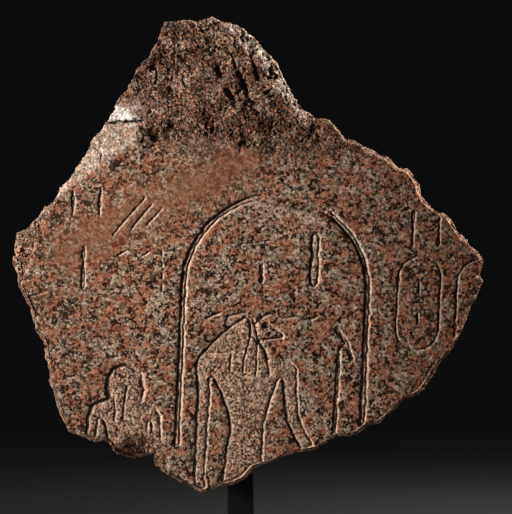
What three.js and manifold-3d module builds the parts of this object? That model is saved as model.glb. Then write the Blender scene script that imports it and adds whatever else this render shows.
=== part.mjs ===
// A broken granite relief on a steel display mount.
// Millimetres, +Z up, +X to the viewer's right. The carved face looks along -Y.
// The origin is on the floor, under the middle of the whole part.
// A place on the face is [u, v]: u from the middle of the stone's width, v above its lowest point.

import * as THREE from "three";
import { ImprovedNoise } from "three/addons/math/ImprovedNoise.js";
import { mergeVertices } from "three/addons/utils/BufferGeometryUtils.js";
import Module from "manifold-3d";

const wasm = await Module();
wasm.setup();

// Driving dimensions of the stone

const STONE_THICKNESS = 108;
const STONE_LIFT = 110;
const FACE_Y = -66;
const BACK_Y = FACE_Y + STONE_THICKNESS;
const STONE_MIDDLE = [0, 280];

// Corners of the broken outline, clockwise from the left end of the top edge
const OUTLINE = [
  [-98, 541], [-76, 544], [-58, 543], [-42, 547], [-28, 541], [-14, 539], [8, 522], [33, 493],
  [46, 464], [62, 441], [78, 430], [91, 429], [104, 417], [110, 407], [130, 400], [158, 386],
  [170, 374], [183, 372], [195, 356], [196, 347], [203, 335], [219, 322], [229, 319], [240, 301],
  [253, 285], [264, 276], [271, 266], [266, 250], [268, 242], [260, 221], [253, 212], [248, 192],
  [236, 168], [219, 150], [208, 132], [195, 114], [178, 108], [168, 97], [151, 81], [138, 79],
  [124, 68], [100, 65], [79, 51], [64, 48], [46, 46], [26, 36], [6, 29], [-6, 16], [-18, 10],
  [-36, 7], [-54, 0], [-70, 9], [-80, 12], [-107, 31], [-110, 46], [-130, 39], [-152, 46],
  [-168, 61], [-178, 58], [-192, 65], [-208, 70], [-216, 88], [-224, 114], [-231, 145],
  [-236, 174], [-245, 186], [-250, 208], [-263, 236], [-271, 266], [-270, 278], [-266, 297],
  [-256, 304], [-239, 323], [-227, 333], [-217, 349], [-196, 376], [-180, 408], [-169, 423],
  [-162, 430], [-150, 455], [-139, 466], [-129, 489], [-119, 500], [-104, 526],
];
const OUTLINE_STEP = 13;
const OUTLINE_WOBBLE = 1.6;

// Rings of the broken sides, front to back: depth behind the face, inset from the outline, wobble
const SIDE_RINGS = [
  { depth: 0, inset: 4.5, wobble: 4 },
  { depth: 8, inset: 0, wobble: 0 },
  { depth: 34, inset: 3, wobble: 5 },
  { depth: 68, inset: 7, wobble: 6 },
  { depth: STONE_THICKNESS - 7, inset: 11, wobble: 6 },
  { depth: STONE_THICKNESS, inset: 17, wobble: 5 },
];
const SIDE_NOISE_SIZE = 29;
const UPRIGHT_FROM = 400;
const UPRIGHT_SHARE = 0.35;

// Small helpers for noise, interpolation and solids

const PROUD = 24;
const WELD = 1e-3;
const perlin = new ImprovedNoise();

function noise(u, v, size, seed) {
  return perlin.noise(u / size + 0.37, v / size + 0.71, seed + 0.5);
}

function along(knots, at) {
  const next = knots.findIndex(([place]) => place > at);
  if (next === 0) return knots[0][1];
  if (next < 0) return knots.at(-1)[1];
  const [[from, low], [to, high]] = [knots[next - 1], knots[next]];
  return THREE.MathUtils.mapLinear(at, from, to, low, high);
}

function solid(geometry) {
  geometry.deleteAttribute("normal");
  geometry.deleteAttribute("uv");
  const merged = mergeVertices(geometry, WELD);
  return new wasm.Manifold(
    new wasm.Mesh({
      numProp: 3,
      vertProperties: merged.attributes.position.array,
      triVerts: new Uint32Array(merged.index.array),
    }),
  );
}

function geometryOf(body) {
  const { vertProperties, triVerts } = body.getMesh();
  const geometry = new THREE.BufferGeometry();
  geometry.setAttribute("position", new THREE.BufferAttribute(vertProperties, 3));
  geometry.setIndex(new THREE.BufferAttribute(triVerts, 1));
  geometry.computeVertexNormals();
  return geometry;
}

function joined(bodies) {
  return bodies.reduce((whole, body) => whole.add(body));
}

// The blank: the outline carried back in rings that pull in towards the sawn back

function towardsMiddle([u, v], inset) {
  const [du, dv] = [u - STONE_MIDDLE[0], v - STONE_MIDDLE[1]];
  const kept = 1 - inset / Math.hypot(du, dv);
  return [STONE_MIDDLE[0] + kept * du, STONE_MIDDLE[1] + kept * dv];
}

function roughOutline() {
  const corners = [...OUTLINE].reverse();
  return corners.flatMap(([u, v], i) => {
    const [nextU, nextV] = corners[(i + 1) % corners.length];
    const pieces = Math.max(1, Math.round(Math.hypot(nextU - u, nextV - v) / OUTLINE_STEP));
    return Array.from({ length: pieces }, (_, k) => {
      const place = [u + (k / pieces) * (nextU - u), v + (k / pieces) * (nextV - v)];
      const wobble = k === 0 ? 0 : OUTLINE_WOBBLE * noise(...place, 9, 1);
      return towardsMiddle(place, wobble);
    });
  });
}

function ringInset([u, v], { inset, wobble }, seed) {
  const upright = along([[UPRIGHT_FROM, 1], [UPRIGHT_FROM + 60, UPRIGHT_SHARE]], v);
  return upright * Math.max(0, inset + wobble * noise(u, v, SIDE_NOISE_SIZE, seed));
}

function capTriangles(points) {
  const contour = points.map(([u, v]) => new THREE.Vector2(u, v));
  return THREE.ShapeUtils.triangulateShape(contour, []).map(([a, b, c]) => {
    const turn = contour[b].clone().sub(contour[a]).cross(contour[c].clone().sub(contour[a]));
    return turn > 0 ? [a, b, c] : [a, c, b];
  });
}

function blank() {
  const outline = roughOutline();
  const count = outline.length;
  const rings = SIDE_RINGS.map((ring, k) =>
    outline.map((place) => towardsMiddle(place, ringInset(place, ring, 10 + k))),
  );
  const positions = rings.flatMap((ring, k) =>
    ring.flatMap(([u, v]) => [u, FACE_Y + SIDE_RINGS[k].depth, v + STONE_LIFT]),
  );
  const index = capTriangles(rings[0]).flat();
  for (let k = 0; k + 1 < rings.length; k++) {
    for (let i = 0; i < count; i++) {
      const [near, nearNext] = [k * count + i, k * count + ((i + 1) % count)];
      const [far, farNext] = [near + count, nearNext + count];
      index.push(near, far, nearNext, nearNext, far, farNext);
    }
  }
  const last = (rings.length - 1) * count;
  capTriangles(rings.at(-1)).forEach(([a, b, c]) => index.push(last + a, last + c, last + b));
  const geometry = new THREE.BufferGeometry();
  geometry.setAttribute("position", new THREE.Float32BufferAttribute(positions, 3));
  geometry.setIndex(index);
  return solid(geometry);
}

// Broken surfaces: the top has split off above a ragged line and turns back along its right crest,
// chips run down the upper left edge and the left tip, and a spall has taken the foot of the small figure

const TOP_BREAK_LINE = [
  [-135, 424], [-112, 398], [-60, 401], [-10, 396], [25, 386], [80, 392], [130, 390], [190, 366],
];
const TOP_BREAK_SLOPE = [[-100, 0.24], [0, 0.22], [60, 0.1], [190, 0.08]];
const TOP_BREAK_STEP = [[-120, 7], [-60, 3], [0, 2], [60, 0.4]];
const CREST = { from: [-22, 532], to: [62, 424], slope: 0.55, fades: [50, 95] };
const CHIP = { from: [-222, 338], to: [-133, 403], slope: 0.55 };
const LEFT_TIP = { from: [-262, 234], to: [-243, 297], slope: 0.5 };
const CRACK_V = 427;
const CRACK_STEP = 3;
const PALE_FACET_EDGE = -119;
const PALE_FACET_SLOPE = 0.45;
const SPALL = { middle: [-124, 38], reach: 31, depth: 17 };
const CLEAR_OF_FACE = -6;
const FRACTURE_STEP = 8;

// Depth of a plane that falls away to the left of a line, as one walks from its first end to its second
function bevelDepth({ from, to, slope }, u, v) {
  const [du, dv] = [to[0] - from[0], to[1] - from[1]];
  return (slope * (du * (v - from[1]) - dv * (u - from[0]))) / Math.hypot(du, dv);
}

function topBreakDepth(u, v) {
  const above = v - along(TOP_BREAK_LINE, u);
  if (above < 0) return above * 0.6;
  const step = along(TOP_BREAK_STEP, u) * THREE.MathUtils.smoothstep(above, 0, 12);
  const rough = 4.5 * noise(u, v, 31, 2) + 3 * noise(u, v, 14, 3);
  const kept = 1 - THREE.MathUtils.smoothstep(u, ...CREST.fades);
  const turned = kept * Math.max(0, bevelDepth(CREST, u, v));
  return step + above * along(TOP_BREAK_SLOPE, u) + rough * Math.min(1, above / 25) + turned;
}

function chipDepth(u, v) {
  if (v > CRACK_V) return PALE_FACET_SLOPE * (PALE_FACET_EDGE - u);
  const crack = v > CRACK_V - FRACTURE_STEP ? CRACK_STEP : 0;
  return bevelDepth(CHIP, u, v) + crack + 1.6 * noise(u, v, 17, 4);
}

function tipDepth(u, v) {
  return bevelDepth(LEFT_TIP, u, v) + 2 * noise(u, v, 13, 6);
}

function spallDepth(u, v) {
  const away = Math.hypot(u - SPALL.middle[0], v - SPALL.middle[1]);
  return SPALL.depth * (1 - away / SPALL.reach) + 3 * noise(u, v, 11, 5);
}

function fracture([u0, u1], [v0, v1], depthAt) {
  const [across, up] = [u1 - u0, v1 - v0];
  const segments = [across, up].map((length) => Math.round(length / FRACTURE_STEP));
  const geometry = new THREE.BoxGeometry(across, PROUD, up, segments[0], 1, segments[1]);
  geometry.translate((u0 + u1) / 2, FACE_Y - PROUD / 2, (v0 + v1) / 2 + STONE_LIFT);
  const places = geometry.attributes.position;
  for (let i = 0; i < places.count; i++) {
    const onFace = places.getY(i) > FACE_Y - PROUD / 2;
    const depth = depthAt(places.getX(i), places.getZ(i) - STONE_LIFT);
    if (onFace) places.setY(i, FACE_Y + Math.max(CLEAR_OF_FACE, depth));
  }
  return solid(geometry);
}

function fractures() {
  const upper = (u, v) => Math.max(topBreakDepth(u, v), chipDepth(u, v));
  return joined([
    fracture([-280, 280], [320, 560], upper),
    fracture([-280, -216], [212, 316], tipDepth),
    fracture([-164, -84], [-2, 78], spallDepth),
  ]);
}

// Carving tools: a band is a stroke of the chisel along a route, and cut() sinks a shape into the face

const SPAN_PIECES = 4;
const END_SHARE = 0.45;

function smooth(route) {
  const curve = new THREE.SplineCurve(route.map(([u, v]) => new THREE.Vector2(u, v)));
  return curve.getPoints(SPAN_PIECES * (route.length - 1)).map(({ x, y }) => [x, y]);
}

function band(route, widthAt) {
  const sides = [[], []];
  route.forEach(([u, v], i) => {
    const before = route[Math.max(0, i - 1)];
    const after = route[Math.min(route.length - 1, i + 1)];
    const turn = Math.atan2(after[1] - before[1], after[0] - before[0]) + Math.PI / 2;
    const half = widthAt(i / (route.length - 1)) / 2;
    sides[0].push([u + half * Math.cos(turn), v + half * Math.sin(turn)]);
    sides[1].unshift([u - half * Math.cos(turn), v - half * Math.sin(turn)]);
  });
  return sides.flat();
}

function stroke(from, to, width) {
  const at = (t) => [from[0] + t * (to[0] - from[0]), from[1] + t * (to[1] - from[1])];
  const tip = (0.5 * width) / Math.hypot(to[0] - from[0], to[1] - from[1]);
  const widthAt = (t) => (t === 0 || t === 1 ? END_SHARE * width : width);
  return band([at(0), at(tip), at(1 - tip), at(1)], widthAt);
}

function shape(points) {
  return new THREE.Shape(points.map(([u, v]) => new THREE.Vector2(u, v)));
}

function cut(outline, depth) {
  const geometry = new THREE.ExtrudeGeometry(outline, { depth: depth + PROUD, bevelEnabled: false });
  geometry.rotateX(Math.PI / 2);
  geometry.translate(0, FACE_Y + depth, STONE_LIFT);
  return solid(geometry);
}

function strokes(list, width, depth) {
  return list.map(([from, to]) => cut(shape(stroke(from, to, width)), depth));
}

// The shrine: a round-topped frame line that leans a little, worn faint past the top of its arch

const SHRINE = { middle: [31, 235], radius: 106, width: 6.5, depth: 4.5, lean: 0.042, wornDepth: 1.2 };
const ARCH_WORN = [57, 99];
const LEFT_JAMB_FOOT = 54;
const RIGHT_JAMB_FOOT = 60;
const ARCH_STEP = 7;

function jamb(side, foot) {
  const [u, v] = SHRINE.middle;
  return [u + side * SHRINE.radius - (v - foot) * SHRINE.lean, foot];
}

function arch(fromDegrees, toDegrees) {
  const pieces = Math.round(Math.abs(toDegrees - fromDegrees) / ARCH_STEP);
  return Array.from({ length: pieces + 1 }, (_, i) => {
    const angle = THREE.MathUtils.degToRad(fromDegrees + (i / pieces) * (toDegrees - fromDegrees));
    const [u, v] = SHRINE.middle;
    return [u + SHRINE.radius * Math.cos(angle), v + SHRINE.radius * Math.sin(angle)];
  });
}

function shrine() {
  const [wornFrom, wornTo] = ARCH_WORN;
  const line = (route, depth) => cut(shape(band(route, () => SHRINE.width)), depth);
  return [
    line([jamb(-1, LEFT_JAMB_FOOT), ...arch(180, wornTo)], SHRINE.depth),
    line(arch(wornTo + 1, wornFrom - 1), SHRINE.wornDepth),
    line([...arch(wornFrom, 0), jamb(1, RIGHT_JAMB_FOOT)], SHRINE.depth),
  ];
}

// The ram-headed god in the shrine, sunk into the face, with the stone left standing between arms and body

const FIGURE_DEPTH = 4.2;
const WIG_DEPTH = 3.4;
const LINE_DEPTH = 6;
const LINE_WIDTH = 2.6;
const GOD_TORSO = [[140, 42], [130, 37], [104, 27], [78, 20], [58, 21], [30, 22], [-6, 26]];
const GOD_SPINE = [[-6, -10], [40, -6], [78, -2], [152, -2]];
const GOD_WIG_BACK = [[-4, 203], [-20, 193], [-40, 175], [-56, 158], [-61, 146], [-60, 132]];
const GOD_WIG_FRONT = [[55, 132], [56, 141], [50, 149], [38, 153], [23, 156], [13, 172], [6, 201]];
const GOD_ARMS = [
  { route: [[-52, 137], [-52, 104], [-54, 78], [-55, 50], [-57, 22], [-53, -4]], widths: [16, 12] },
  { route: [[47, 137], [48, 108], [51, 86], [59, 67], [75, 40]], widths: [17, 15] },
];
const RAM_HEAD = { crown: [6, 188], muzzle: [39, 180.5], crownDepth: 30, muzzleDepth: 5 };
const RAM_EYE = { place: [18, 191], length: 7, width: 3.4 };
const LAPPETS = [
  [[1, 197], [2, 180], [-4, 161], [-7, 138]],
  [[6, 196], [10, 178], [9, 158], [8, 134]],
  [[13, 171], [20, 160], [22, 146], [23, 134]],
];
const HORNS = [
  { from: -50, to: 0, v: 205, wave: 2.6, waveLength: 30 },
  { from: 10, to: 80, v: 204, wave: 1.8, waveLength: 24 },
];
const HORN_WIDTH = 3.6;
const HORN_DEPTH = 2.2;
const STAFF = { top: [104, 166], foot: [97, 50], width: 4.2 };
const STAFF_HEAD = [[100, 190], [110, 176], [115, 165], [119, 152]];
const STAFF_NECK = [[104, 164], [106, 168], [113, 169]];
const STAFF_DEPTH = 3.4;

function torso(halfWidths, spine) {
  const side = (sign) => smooth(halfWidths.map(([v, half]) => [along(spine, v) + sign * half, v]));
  return [...side(1), ...side(-1).reverse()];
}

function limb({ route, widths }) {
  return band(smooth(route), (t) => THREE.MathUtils.lerp(widths[0], widths[1], t));
}

function horn({ from, to, v, wave, waveLength }) {
  const pieces = Math.round(((to - from) / waveLength) * 6);
  const route = Array.from({ length: pieces + 1 }, (_, i) => {
    const u = from + (i / pieces) * (to - from);
    return [u, v + wave * Math.sin((2 * Math.PI * (u - from)) / waveLength - 1)];
  });
  return band(route, (t) => HORN_WIDTH * (t === 0 || t === 1 ? END_SHARE : 1));
}

function god() {
  const head = { route: [RAM_HEAD.crown, RAM_HEAD.muzzle], widths: [RAM_HEAD.crownDepth, RAM_HEAD.muzzleDepth] };
  const { place, length, width } = RAM_EYE;
  const eye = stroke([place[0] - length / 2, place[1]], [place[0] + length / 2, place[1] - 1], width);
  const line = (route) => cut(shape(band(smooth(route), () => LINE_WIDTH)), LINE_DEPTH);
  return [
    cut(shape(torso(GOD_TORSO, GOD_SPINE)), FIGURE_DEPTH),
    cut(shape([...smooth(GOD_WIG_BACK), ...smooth(GOD_WIG_FRONT)]), WIG_DEPTH),
    ...GOD_ARMS.map((arm) => cut(shape(limb(arm)), FIGURE_DEPTH)),
    cut(shape(limb(head)), WIG_DEPTH),
    cut(shape(eye), LINE_DEPTH),
    ...LAPPETS.map(line),
    ...HORNS.map((one) => cut(shape(horn(one)), HORN_DEPTH)),
    ...strokes([[STAFF.top, STAFF.foot]], STAFF.width, STAFF_DEPTH),
    ...[STAFF_HEAD, STAFF_NECK].map((route) => cut(shape(band(smooth(route), () => STAFF.width)), STAFF_DEPTH)),
  ];
}

// The worshipper at the lower left: a wig, a plain profile in thirds, shoulders and arms

const WORSHIPPER_DEPTH = 4.6;
const WIG_CAP = { middle: [-143, 122], halfWidth: 22, halfHeight: 26 };
const FACE = { hairline: [-123, 139], height: 34, noseReach: 4.5, lipReach: 2.2, chinReach: 0.6, brow: 2.4 };
const WORSHIPPER_LEFT_SHOULDER = [[-162, 109], [-174, 106], [-182, 100], [-185, 92], [-186, 84]];
const WORSHIPPER_RIGHT_SHOULDER = [[-101, 84], [-103, 92], [-109, 98], [-122, 102]];
const WORSHIPPER_TORSO = [[90, 31], [80, 26], [66, 24], [40, 26]];
const WORSHIPPER_SPINE = [[40, -140], [90, -141]];
const WORSHIPPER_ARMS = [
  { route: [[-179, 90], [-180, 76], [-182, 62], [-183, 46]], widths: [14, 12] },
  { route: [[-107, 90], [-107, 76], [-107, 62], [-108, 46]], widths: [12, 11] },
];
const WORSHIPPER_LINES = [
  [[-155, 110], [-154, 96], [-154, 82]],
  [[-140, 124], [-143, 104], [-145, 84]],
];
const CAP_SEGMENTS = 22;

function profile() {
  const [u, v] = FACE.hairline;
  const third = FACE.height / 3;
  return [
    [u - 24, v], [u, v], [u + FACE.brow, v - third], [u + FACE.brow - 0.6, v - 1.15 * third],
    [u + FACE.noseReach + 1, v - 1.85 * third], [u + FACE.brow - 0.4, v - 2 * third],
    [u + FACE.lipReach + 0.8, v - 2.3 * third], [u + FACE.lipReach, v - 2.6 * third],
    [u + FACE.chinReach + 1.4, v - 3 * third], [u - 5, v - 3.2 * third], [u - 6, v - 42], [u - 24, v - 42],
  ];
}

function worshipper() {
  const cap = Array.from({ length: CAP_SEGMENTS }, (_, i) => {
    const angle = (2 * Math.PI * i) / CAP_SEGMENTS;
    return [
      WIG_CAP.middle[0] + WIG_CAP.halfWidth * Math.cos(angle),
      WIG_CAP.middle[1] + WIG_CAP.halfHeight * Math.sin(angle),
    ];
  });
  return [
    cut(shape(cap), WORSHIPPER_DEPTH),
    cut(shape(profile()), WORSHIPPER_DEPTH),
    cut(shape([...smooth(WORSHIPPER_LEFT_SHOULDER), ...smooth(WORSHIPPER_RIGHT_SHOULDER)]), WORSHIPPER_DEPTH),
    cut(shape(torso(WORSHIPPER_TORSO, WORSHIPPER_SPINE)), WORSHIPPER_DEPTH),
    ...WORSHIPPER_ARMS.map((arm) => cut(shape(limb(arm)), WORSHIPPER_DEPTH)),
    ...WORSHIPPER_LINES.map((route) => cut(shape(band(smooth(route), () => LINE_WIDTH)), LINE_DEPTH)),
  ];
}

// Name rings at the right, the outer one cut off by the break, with plain shallow strokes inside

const NAME_RING = { width: 49, height: 108, line: 2.8, depth: 2.6, lean: 0.05, halfSegments: 10 };
const NAME_RING_MIDDLES = [[195, 218], [263, 214]];
const RING_STROKE = { rows: 5, pitch: 17, length: 15, width: 3, depth: 2.2 };

function capsule([u, v], width, height) {
  const radius = width / 2;
  const straight = height / 2 - radius;
  const half = (turn) =>
    Array.from({ length: NAME_RING.halfSegments + 1 }, (_, i) => {
      const angle = turn + (Math.PI * i) / NAME_RING.halfSegments;
      const rise = radius * Math.sin(angle) + (turn === 0 ? straight : -straight);
      return [u + radius * Math.cos(angle) + NAME_RING.lean * rise, v + rise];
    });
  return [...half(0), ...half(Math.PI)];
}

function nameRing(middle) {
  const { width, height, line, depth, lean } = NAME_RING;
  const ring = shape(capsule(middle, width + line, height + line));
  ring.holes.push(shape(capsule(middle, width - line, height - line)));
  const rows = Array.from({ length: RING_STROKE.rows }, (_, i) => {
    const rise = RING_STROKE.pitch * (i - (RING_STROKE.rows - 1) / 2);
    const [u, v] = [middle[0] + lean * rise, middle[1] + rise];
    const half = RING_STROKE.length / 2;
    return i % 2 ? [[u, v - half], [u, v + half]] : [[u - half, v], [u + half, v + 1]];
  });
  return [cut(ring, depth), ...strokes(rows, RING_STROKE.width, RING_STROKE.depth)];
}

// Inscription places: rows of plain shallow strokes that spell nothing

const INSCRIPTION_DEPTH = 2.8;
const UPRIGHTS = [
  { u: -202, v: 334, length: 29 }, { u: -171, v: 335, length: 34 }, { u: -190, v: 260, length: 50 },
  { u: 15, v: 252, length: 23 }, { u: 189, v: 303, length: 44 }, { u: 219, v: 302, length: 36 },
];
const UPRIGHT_WIDTH = 3.6;
const BROAD_STROKE = { u: 76, v: 268, length: 62, width: 10 };
const SLANTED = { u: -138, v: 318, length: 58, pitch: 15, shrink: 0.7, count: 3, angle: 0.86 };
const DASH_COLUMN = { u: -100, v: 236, pitch: 13.5, length: 9, count: 4 };
const SHORT_DASHES = [
  [[-152, 272], [-140, 279]], [[-124, 272], [-111, 279]], [[-138, 238], [-124, 239]],
  [[-4, 287], [46, 292]], [[174, 323], [186, 326]], [[-255, 226], [-232, 231]],
];
const DASH_WIDTH = 3;
const DASH_DEPTH = 1.8;
const STROKE_LEAN = 0.04;

function inscription() {
  const upright = ({ u, v, length }) => {
    const lean = (STROKE_LEAN * length) / 2;
    return [[u - lean, v - length / 2], [u + lean, v + length / 2]];
  };
  const slanted = Array.from({ length: SLANTED.count }, (_, i) => {
    const half = (SLANTED.length / 2) * SLANTED.shrink ** i;
    const [du, dv] = [half * Math.cos(SLANTED.angle), half * Math.sin(SLANTED.angle)];
    const u = SLANTED.u + i * SLANTED.pitch;
    return [[u - du, SLANTED.v - dv], [u + du, SLANTED.v + dv]];
  });
  const column = Array.from({ length: DASH_COLUMN.count }, (_, i) =>
    upright({ ...DASH_COLUMN, v: DASH_COLUMN.v + i * DASH_COLUMN.pitch }),
  );
  return [
    ...strokes(UPRIGHTS.map(upright), UPRIGHT_WIDTH, INSCRIPTION_DEPTH),
    ...strokes([upright(BROAD_STROKE)], BROAD_STROKE.width, INSCRIPTION_DEPTH + 1),
    ...strokes([...slanted, ...column, ...SHORT_DASHES], DASH_WIDTH, DASH_DEPTH),
  ];
}

function graniteFragment() {
  const carving = [...shrine(), ...god(), ...worshipper(), ...NAME_RING_MIDDLES.flatMap(nameRing), ...inscription()];
  const carved = blank().subtract(joined(carving));
  return geometryOf(carved.subtract(fractures()));
}

// The display mount: a flat steel bar up the sawn back of the stone, standing on a steel foot plate

const FOOT = { width: 300, depth: 200, thickness: 16, corner: 6, chamfer: 1.5 };
const POST = { width: 32, depth: 16, chamfer: 1.2, u: -10.5, topAboveStoneFoot: 330 };
const BOND_GAP = 0.3;

function roundedPlate(width, depth, corner, height, chamfer) {
  const [x, y] = [width / 2 - chamfer, depth / 2 - chamfer];
  const plate = new THREE.Shape();
  plate.moveTo(-x + corner, -y);
  plate.lineTo(x - corner, -y);
  plate.absarc(x - corner, -y + corner, corner, -Math.PI / 2, 0);
  plate.lineTo(x, y - corner);
  plate.absarc(x - corner, y - corner, corner, 0, Math.PI / 2);
  plate.lineTo(-x + corner, y);
  plate.absarc(-x + corner, y - corner, corner, Math.PI / 2, Math.PI);
  plate.lineTo(-x, -y + corner);
  plate.absarc(-x + corner, -y + corner, corner, Math.PI, 1.5 * Math.PI);
  const geometry = new THREE.ExtrudeGeometry(plate, {
    depth: height - 2 * chamfer,
    bevelThickness: chamfer,
    bevelSize: chamfer,
    bevelSegments: 1,
    curveSegments: 6,
  });
  geometry.translate(0, 0, chamfer);
  return geometry;
}

const granite = new THREE.MeshStandardMaterial({ color: 0x8a5f4b, roughness: 0.75, metalness: 0 });
const blackSteel = new THREE.MeshStandardMaterial({ color: 0x1c1c1e, roughness: 0.5, metalness: 0.6 });

function piece(name, geometry, material) {
  const mesh = new THREE.Mesh(geometry, material);
  mesh.name = name;
  return mesh;
}

const part = new THREE.Group();
part.add(piece("granite_fragment", graniteFragment(), granite));

const mount = new THREE.Group();
const footPlate = roundedPlate(FOOT.width, FOOT.depth, FOOT.corner, FOOT.thickness, FOOT.chamfer);
const foot = piece("mount_foot_plate", footPlate, blackSteel);
foot.position.set(POST.u, 0, 0);
const postHeight = STONE_LIFT + POST.topAboveStoneFoot - FOOT.thickness;
const postBar = roundedPlate(POST.width, POST.depth, POST.chamfer, postHeight, POST.chamfer);
const post = piece("mount_post", postBar, blackSteel);
post.position.set(POST.u, BACK_Y + BOND_GAP + POST.depth / 2, FOOT.thickness);
mount.add(foot, post);
part.add(mount);

export default part;
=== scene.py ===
import math

import bpy
import numpy as np
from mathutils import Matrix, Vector
from mathutils.bvhtree import BVHTree


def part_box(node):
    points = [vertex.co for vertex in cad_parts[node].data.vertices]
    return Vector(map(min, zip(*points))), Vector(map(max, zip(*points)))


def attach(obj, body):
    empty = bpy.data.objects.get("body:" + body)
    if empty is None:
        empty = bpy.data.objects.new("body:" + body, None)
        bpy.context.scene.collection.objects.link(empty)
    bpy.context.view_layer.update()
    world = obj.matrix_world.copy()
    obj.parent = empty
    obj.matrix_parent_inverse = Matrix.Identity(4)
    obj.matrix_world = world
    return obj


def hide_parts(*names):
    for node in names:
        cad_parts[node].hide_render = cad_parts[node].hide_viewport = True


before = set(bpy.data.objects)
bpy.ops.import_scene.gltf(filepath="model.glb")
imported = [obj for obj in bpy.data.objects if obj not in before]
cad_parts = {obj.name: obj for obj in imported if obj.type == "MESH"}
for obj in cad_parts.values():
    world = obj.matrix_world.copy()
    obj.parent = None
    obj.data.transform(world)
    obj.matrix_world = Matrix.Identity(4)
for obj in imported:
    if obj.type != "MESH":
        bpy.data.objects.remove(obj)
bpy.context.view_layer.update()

# The granite fragment is one slab of coarse pink, grey and black granite, broken all round.
# Its face was dressed flat and carved in sunk relief, and its back was sawn flat for the mount.
# The solid gives its outline, breaks and carving, and the finer wear and roughness are worked in here.
MM = 0.001
WELD = 1e-6
stone_low, stone_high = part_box("granite_fragment")
FACE_Y = stone_low.y / MM
BACK_Y = stone_high.y / MM
THICKNESS = BACK_Y - FACE_Y
STONE_FOOT_Z = stone_low.z / MM

bpy.ops.object.select_all(action="DESELECT")
stone = bpy.data.objects.new("granite_relief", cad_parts["granite_fragment"].data.copy())
bpy.context.scene.collection.objects.link(stone)
stone.select_set(True)
bpy.context.view_layer.objects.active = stone
bpy.ops.object.mode_set(mode="EDIT")
bpy.ops.mesh.select_all(action="SELECT")
bpy.ops.mesh.remove_doubles(threshold=WELD)
bpy.ops.object.mode_set(mode="OBJECT")

# A map of the solid's face: depth behind the dressed plane at every place [u, v], all in millimetres,
# with u from the middle of the stone's width and v above its lowest point.
MAP_STEP = 0.6
MAP_MARGIN = 6
BEFORE_LAST = 1.001
IN_FRONT = -0.5
NO_STONE = 200.0
map_u = np.arange(stone_low.x / MM - MAP_MARGIN, stone_high.x / MM + MAP_MARGIN, MAP_STEP)
map_v = np.arange(-MAP_MARGIN, (stone_high.z - stone_low.z) / MM + MAP_MARGIN, MAP_STEP)
U, V = np.meshgrid(map_u, map_v)
solid_tree = BVHTree.FromObject(stone, bpy.context.evaluated_depsgraph_get())


def solid_depth(u, v):
    hit = solid_tree.ray_cast(Vector((u * MM, IN_FRONT, (v + STONE_FOOT_Z) * MM)), Vector((0, 1, 0)))[0]
    return NO_STONE if hit is None else hit.y / MM - FACE_Y


solid_map = np.array([solid_depth(u, v) for u, v in zip(U.ravel(), V.ravel())]).reshape(U.shape)


def at_places(grid, u, v):
    """Reads a face map at places between its points."""
    column = np.clip((u - map_u[0]) / MAP_STEP, 0, len(map_u) - BEFORE_LAST)
    row = np.clip((v - map_v[0]) / MAP_STEP, 0, len(map_v) - BEFORE_LAST)
    i, j = column.astype(int), row.astype(int)
    s, t = column - i, row - j
    low = grid[j, i] * (1 - s) + grid[j, i + 1] * s
    high = grid[j + 1, i] * (1 - s) + grid[j + 1, i + 1] * s
    return low * (1 - t) + high * t


def step_between(low, high, value):
    share = np.clip((value - low) / (high - low), 0, 1)
    return share * share * (3 - 2 * share)


def near(away, reach):
    """A share that is one on a line and fades to nothing at a reach from it."""
    return step_between(0, 1, (reach - away) / reach)


LATTICE = 97


def eased(share):
    return share * share * share * (share * (share * 6 - 15) + 10)


def hills(size, seed, stretch=1.0, turn=0.0, u=U, v=V):
    """Smooth random hills of about a size in millimetres, drawn out along the turned direction."""
    angles = np.random.default_rng(seed).uniform(0, 2 * np.pi, (LATTICE, LATTICE))
    lattice_along, lattice_across = np.cos(angles), np.sin(angles)
    along = (u * math.cos(turn) + v * math.sin(turn)) / (size * stretch)
    across = (v * math.cos(turn) - u * math.sin(turn)) / size
    i, j = np.floor(along).astype(int), np.floor(across).astype(int)
    a, b = along - i, across - j

    def corner(di, dj):
        cell = ((i + di) % LATTICE, (j + dj) % LATTICE)
        return lattice_along[cell] * (a - di) + lattice_across[cell] * (b - dj)

    near_side = corner(0, 0) * (1 - eased(a)) + corner(1, 0) * eased(a)
    far_side = corner(0, 1) * (1 - eased(a)) + corner(1, 1) * eased(a)
    return near_side * (1 - eased(b)) + far_side * eased(b)


def layered(layers, u=U, v=V):
    """Hills of several sizes added up, each layer given as its height, size and seed."""
    return sum(height * hills(size, seed, u=u, v=v) for height, size, seed in layers)


def facets(size, seed, tilt):
    """Small flat facets of about a size in millimetres, each tilted its own way, like broken crystals."""
    random = np.random.default_rng(seed)
    jitter = random.uniform(0, 1, (2, LATTICE, LATTICE))
    slope = random.uniform(-tilt, tilt, (2, LATTICE, LATTICE))
    i, j = np.floor(U / size).astype(int), np.floor(V / size).astype(int)
    nearest = np.full(U.shape, np.inf)
    height = np.zeros(U.shape)
    for di in (-1, 0, 1):
        for dj in (-1, 0, 1):
            cell = ((i + di) % LATTICE, (j + dj) % LATTICE)
            du = U - (i + di + jitter[0][cell]) * size
            dv = V - (j + dj + jitter[1][cell]) * size
            away = du * du + dv * dv
            closer = away < nearest
            nearest = np.where(closer, away, nearest)
            height = np.where(closer, slope[0][cell] * du + slope[1][cell] * dv, height)
    return height


FAR_COLUMN = 10000


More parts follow.
